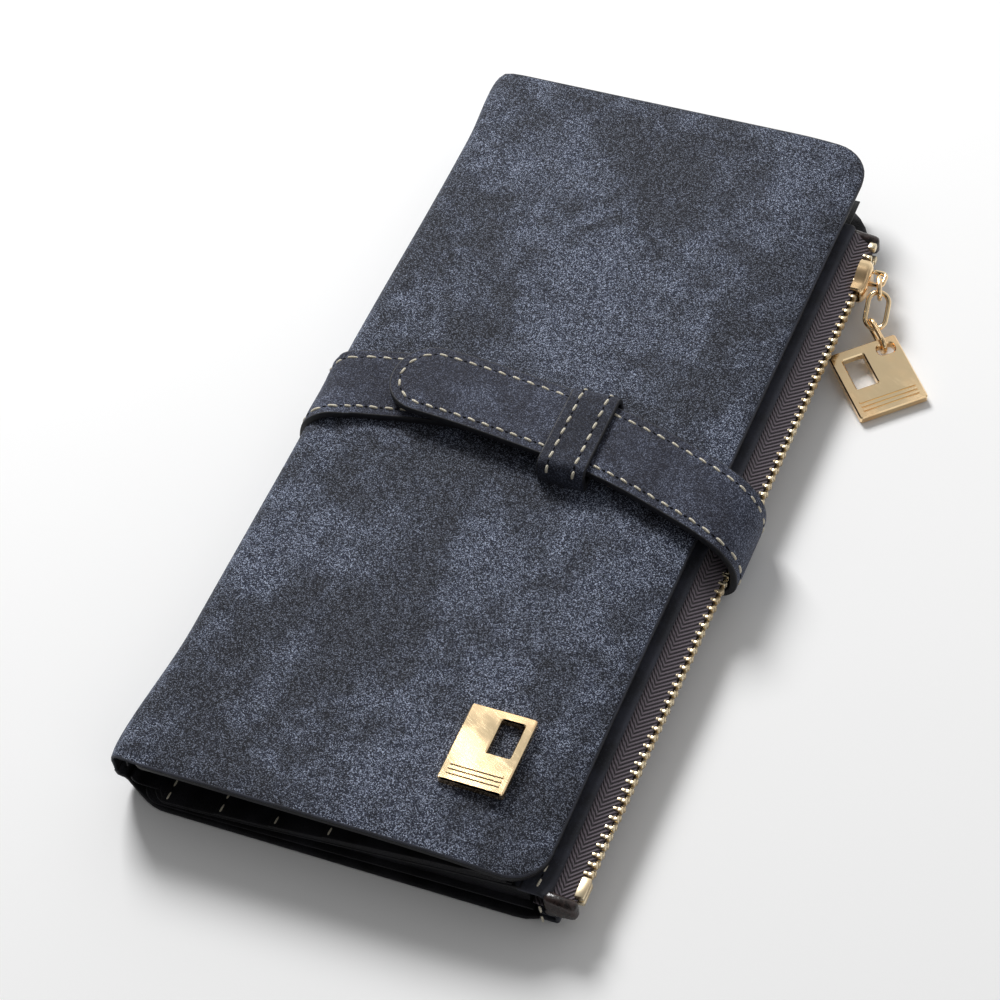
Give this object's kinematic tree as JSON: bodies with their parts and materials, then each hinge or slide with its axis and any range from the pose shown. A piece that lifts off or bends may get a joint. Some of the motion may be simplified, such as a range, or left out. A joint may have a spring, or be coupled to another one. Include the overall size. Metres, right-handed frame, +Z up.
{
  "type": "long wallet",
  "caption": "Long folding wallet: padded cover on a soft spine, zipped side pocket with charm pull, card slots, and a belt strap round it through a keeper.",
  "frame": {"origin": "centre of the resting face under the back", "axes": "+X from the spine to the zip, +Y from the badge end to the slider end, +Z up through the cover"},
  "size_m": [0.1148, 0.19, 0.0205],
  "materials": {
    "nubuck": "brushed nubuck, navy grey, mottled",
    "lining_leather": "black, fine grain, semi-matt",
    "board": "grey fibre board",
    "foam": "thin felt padding",
    "zip_tape": "herringbone woven tape",
    "gold_metal": "polished light gold",
    "clear_pane": "clear flexible sheet"
  },
  "bodies": {
    "back": {"back_leather": "nubuck", "back_padding": "foam", "back_board": "board", "pocket_floor": "lining_leather", "pocket_roof": "lining_leather", "card_panel": "lining_leather", "back_card_leaf_1": "lining_leather", "back_card_leaf_2": "lining_leather", "back_card_leaf_3": "lining_leather", "back_card_leaf_4": "lining_leather", "pocket_gusset_near": "lining_leather", "pocket_gusset_far": "lining_leather", "upper_lip": "nubuck", "lower_lip": "nubuck", "zip_tape_upper": "zip_tape", "zip_tape_lower": "zip_tape", "zip_teeth_upper": "gold_metal", "zip_teeth_lower": "gold_metal", "zip_bottom_stop": "gold_metal", "zip_top_stops": "gold_metal", "zip_tab_near": "lining_leather", "zip_tab_far": "lining_leather", "strap_back_run": "nubuck"},
    "spine": {"spine_leather": "nubuck", "spine_lining": "lining_leather", "strap_spine_run": "nubuck"},
    "cover": {"cover_leather": "nubuck", "cover_board": "board", "cover_lining": "lining_leather", "cover_card_leaf_1": "lining_leather", "cover_card_leaf_2": "lining_leather", "window_frame": "lining_leather", "window_pane": "clear_pane", "badge_plate": "gold_metal", "badge_washers": "gold_metal", "strap_cover_run": "nubuck", "keeper": "nubuck"},
    "strap_1": {"strap_link_1": "nubuck"},
    "strap_2": {"strap_link_2": "nubuck"},
    "tongue": {"strap_tongue": "nubuck"},
    "slider": {"slider_body": "gold_metal", "slider_crown": "gold_metal"},
    "bail": {"pull_bail": "gold_metal"},
    "ring_1": {"pull_ring_1": "gold_metal"},
    "ring_2": {"pull_ring_2": "gold_metal"},
    "charm": {"charm": "gold_metal"}
  },
  "joints": [
    {"name": "spine_fold", "type": "hinge", "parent": "back", "child": "spine", "pos_m": [-0.0429, 0, 0.0006], "axis": [0, -1, 0], "range_deg": [0, 85]},
    {"name": "cover_fold", "type": "hinge", "parent": "spine", "child": "cover", "pos_m": [-0.0429, 0, 0.0144], "axis": [0, -1, 0], "range_deg": [0, 85]},
    {"name": "strap_turn_1", "type": "hinge", "parent": "back", "child": "strap_1", "pos_m": [0.04714, -0.006, 0.00075], "axis": [0, 1, 0], "range_deg": [0, 53.4], "deforming": ["strap_link_1"]},
    {"name": "strap_turn_2", "type": "hinge", "parent": "strap_1", "child": "strap_2", "pos_m": [0.05167, -0.006, 0.00684], "axis": [0, 1, 0], "range_deg": [0, 53.4], "deforming": ["strap_link_2"]},
    {"name": "strap_turn_3", "type": "hinge", "parent": "strap_2", "child": "tongue", "pos_m": [0.04959, -0.006, 0.0138], "axis": [0, 1, 0], "range_deg": [0, 53.4], "deforming": ["strap_tongue"]},
    {"name": "zip_slide", "type": "slide", "parent": "back", "child": "slider", "axis": [0, -1, 0], "range_m": [0, 0.147], "deforming": ["zip_teeth_upper", "zip_teeth_lower"]},
    {"name": "bail_swing", "type": "hinge", "parent": "slider", "child": "bail", "pos_m": [0.05175, 0.0673, 0.0067], "axis": [0, 0, 1], "range_deg": [0, 30]},
    {"name": "ring_1_swing", "type": "hinge", "parent": "bail", "child": "ring_1", "pos_m": [0.0534, 0.0628, 0.0067], "axis": [0.9481, 0.2845, -0.1422], "range_deg": [-10, 10]},
    {"name": "ring_2_swing", "type": "hinge", "parent": "ring_1", "child": "ring_2", "pos_m": [0.05386, 0.0573, 0.00295], "axis": [0.9481, 0.2845, -0.1422], "range_deg": [-15, 18]},
    {"name": "charm_swing", "type": "hinge", "parent": "ring_2", "child": "charm", "pos_m": [0.0566, 0.05425, 0.0026], "axis": [0.7432, 0.6691, 0], "range_deg": [-25, 25]}
  ],
  "couplings": [
    {"joint": "spine_fold", "follows": "cover_fold", "ratio": 1},
    {"joint": "strap_turn_1", "follows": "cover_fold", "ratio": 0.62745},
    {"joint": "strap_turn_2", "follows": "cover_fold", "ratio": 0.62745},
    {"joint": "strap_turn_3", "follows": "cover_fold", "ratio": 0.62745}
  ]
}
